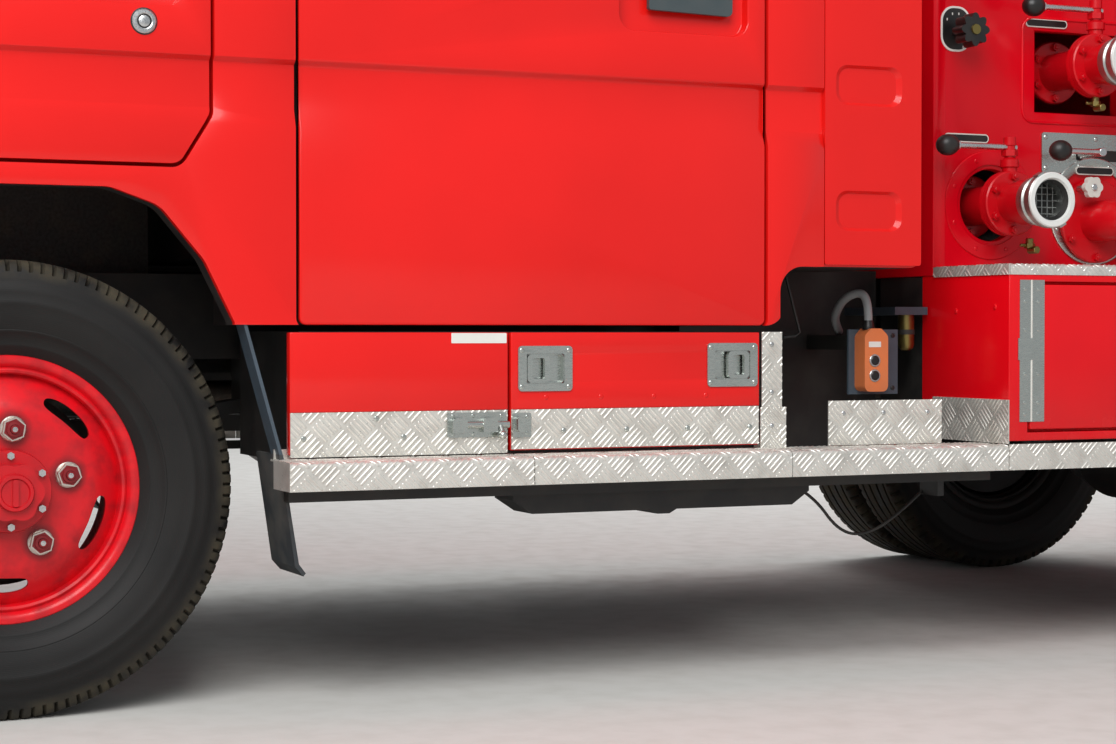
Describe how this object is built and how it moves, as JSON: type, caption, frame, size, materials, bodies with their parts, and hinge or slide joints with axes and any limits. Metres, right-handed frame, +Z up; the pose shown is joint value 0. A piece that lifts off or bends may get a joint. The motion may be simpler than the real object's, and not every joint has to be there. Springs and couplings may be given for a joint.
{
  "type": "crew-cab fire engine, light pumper",
  "caption": "Forward-control crew-cab fire engine with opening doors and lockers, steered front wheels, twin rear wheels, side pump panels and a rear body with roll shutters.",
  "frame": {"origin": "on the ground, at the middle of the vehicle's length and width", "axes": "front faces -Y, +X is the vehicle's left side, +Z up"},
  "size_m": [1.88, 5.64, 2.405],
  "materials": {
    "cab_red": "gloss",
    "body_red": "gloss",
    "chassis_black": "satin",
    "wheel_red": "satin",
    "tyre_rubber": "matte",
    "window_glass": "gloss",
    "lamp_lens": "gloss",
    "red_lens": "gloss",
    "black_plastic": "matte",
    "treadplate": "satin",
    "stainless": "satin",
    "coupling_alloy": "satin",
    "shutter_alloy": "satin",
    "cast_grey": "matte",
    "seat_vinyl": "satin",
    "hose_black": "matte",
    "bumper_white": "gloss",
    "fitting_orange": "matte"
  },
  "bodies": {
    "chassis": {"cab_shell": "cab_red", "cab_glass": "window_glass", "grille": "black_plastic", "headlamps": "lamp_lens", "front_bumper": "bumper_white", "frame": "chassis_black", "front_axle": "chassis_black", "rear_axle": "chassis_black", "engine_block": "cast_grey", "driveline": "cast_grey", "exhaust": "chassis_black", "locker_carcasses": "chassis_black", "treadplate_steps": "treadplate", "body_walls": "body_red", "body_panels": "body_red", "side_boxes": "body_red", "pump_bay": "body_red", "roll_shutters": "shutter_alloy", "pump_body": "cast_grey", "outlet_pipes": "body_red", "couplings": "coupling_alloy", "panel_plates": "stainless", "valve_controls": "black_plastic", "dashboard": "black_plastic", "seats": "seat_vinyl", "mirrors": "black_plastic", "light_bar": "red_lens", "deck_rails": "stainless", "ladder": "coupling_alloy", "suction_hoses": "hose_black", "rear_lamps": "red_lens", "fuel_tank": "chassis_black", "mudflaps": "hose_black", "side_fittings": "fitting_orange"},
    "knuckle_left": {"knuckle_left": "chassis_black"},
    "wheel_front_left": {"rim_front_left": "wheel_red", "tyre_front_left": "tyre_rubber"},
    "wheels_rear_left": {"rims_rear_left": "wheel_red", "tyres_rear_left": "tyre_rubber"},
    "door_front_left": {"door_front_left": "cab_red", "door_glass_front_left": "window_glass"},
    "door_rear_left": {"door_rear_left": "cab_red", "door_glass_rear_left": "window_glass"},
    "locker_front_left": {"locker_front_left": "cab_red"},
    "locker_rear_left": {"locker_rear_left": "cab_red"},
    "box_door_left": {"box_door_left": "body_red"},
    "knuckle_right": {"knuckle_right": "chassis_black"},
    "wheel_front_right": {"rim_front_right": "wheel_red", "tyre_front_right": "tyre_rubber"},
    "wheels_rear_right": {"rims_rear_right": "wheel_red", "tyres_rear_right": "tyre_rubber"},
    "door_front_right": {"door_front_right": "cab_red", "door_glass_front_right": "window_glass"},
    "door_rear_right": {"door_rear_right": "cab_red", "door_glass_rear_right": "window_glass"},
    "locker_front_right": {"locker_front_right": "cab_red"},
    "locker_rear_right": {"locker_rear_right": "cab_red"},
    "box_door_right": {"box_door_right": "body_red"}
  },
  "joints": [
    {"name": "steer_left", "type": "hinge", "parent": "chassis", "child": "knuckle_left", "pos_m": [0.56, -1.76, 0.38], "axis": [0, 0, 1], "range_deg": [-30, 30]},
    {"name": "spin_front_left", "type": "hinge", "parent": "knuckle_left", "child": "wheel_front_left", "pos_m": [0.7, -1.76, 0.38], "axis": [1, 0, 0], "continuous": true},
    {"name": "spin_rear_left", "type": "hinge", "parent": "chassis", "child": "wheels_rear_left", "pos_m": [0.7175, 1.14, 0.38], "axis": [1, 0, 0], "continuous": true},
    {"name": "open_door_front_left", "type": "hinge", "parent": "chassis", "child": "door_front_left", "pos_m": [0.85, -2.463, 1.4], "axis": [0, 0, -1], "range_deg": [0, 70]},
    {"name": "open_door_rear_left", "type": "hinge", "parent": "chassis", "child": "door_rear_left", "pos_m": [0.85, -1.283, 1.4], "axis": [0, 0, -1], "range_deg": [0, 75]},
    {"name": "open_locker_front_left", "type": "hinge", "parent": "chassis", "child": "locker_front_left", "pos_m": [0.85, -1.326, 0.535], "axis": [0, 0, -1], "range_deg": [0, 100]},
    {"name": "open_locker_rear_left", "type": "hinge", "parent": "chassis", "child": "locker_rear_left", "pos_m": [0.85, -0.637, 0.43], "axis": [0, 1, 0], "range_deg": [0, 90]},
    {"name": "open_box_left", "type": "hinge", "parent": "chassis", "child": "box_door_left", "pos_m": [0.94, 0.168, 0.592], "axis": [0, 0, -1], "range_deg": [0, 100]},
    {"name": "steer_right", "type": "hinge", "parent": "chassis", "child": "knuckle_right", "pos_m": [-0.56, -1.76, 0.38], "axis": [0, 0, 1], "range_deg": [-30, 30]},
    {"name": "spin_front_right", "type": "hinge", "parent": "knuckle_right", "child": "wheel_front_right", "pos_m": [-0.7, -1.76, 0.38], "axis": [1, 0, 0], "continuous": true},
    {"name": "spin_rear_right", "type": "hinge", "parent": "chassis", "child": "wheels_rear_right", "pos_m": [-0.7175, 1.14, 0.38], "axis": [1, 0, 0], "continuous": true},
    {"name": "open_door_front_right", "type": "hinge", "parent": "chassis", "child": "door_front_right", "pos_m": [-0.85, -2.463, 1.4], "axis": [0, 0, 1], "range_deg": [0, 70]},
    {"name": "open_door_rear_right", "type": "hinge", "parent": "chassis", "child": "door_rear_right", "pos_m": [-0.85, -1.283, 1.4], "axis": [0, 0, 1], "range_deg": [0, 75]},
    {"name": "open_locker_front_right", "type": "hinge", "parent": "chassis", "child": "locker_front_right", "pos_m": [-0.85, -1.326, 0.535], "axis": [0, 0, 1], "range_deg": [0, 100]},
    {"name": "open_locker_rear_right", "type": "hinge", "parent": "chassis", "child": "locker_rear_right", "pos_m": [-0.85, -0.637, 0.43], "axis": [0, -1, 0], "range_deg": [0, 90]},
    {"name": "open_box_right", "type": "hinge", "parent": "chassis", "child": "box_door_right", "pos_m": [-0.94, 0.168, 0.592], "axis": [0, 0, 1], "range_deg": [0, 100]}
  ],
  "couplings": [
    {"joint": "steer_right", "follows": "steer_left", "ratio": 1}
  ]
}
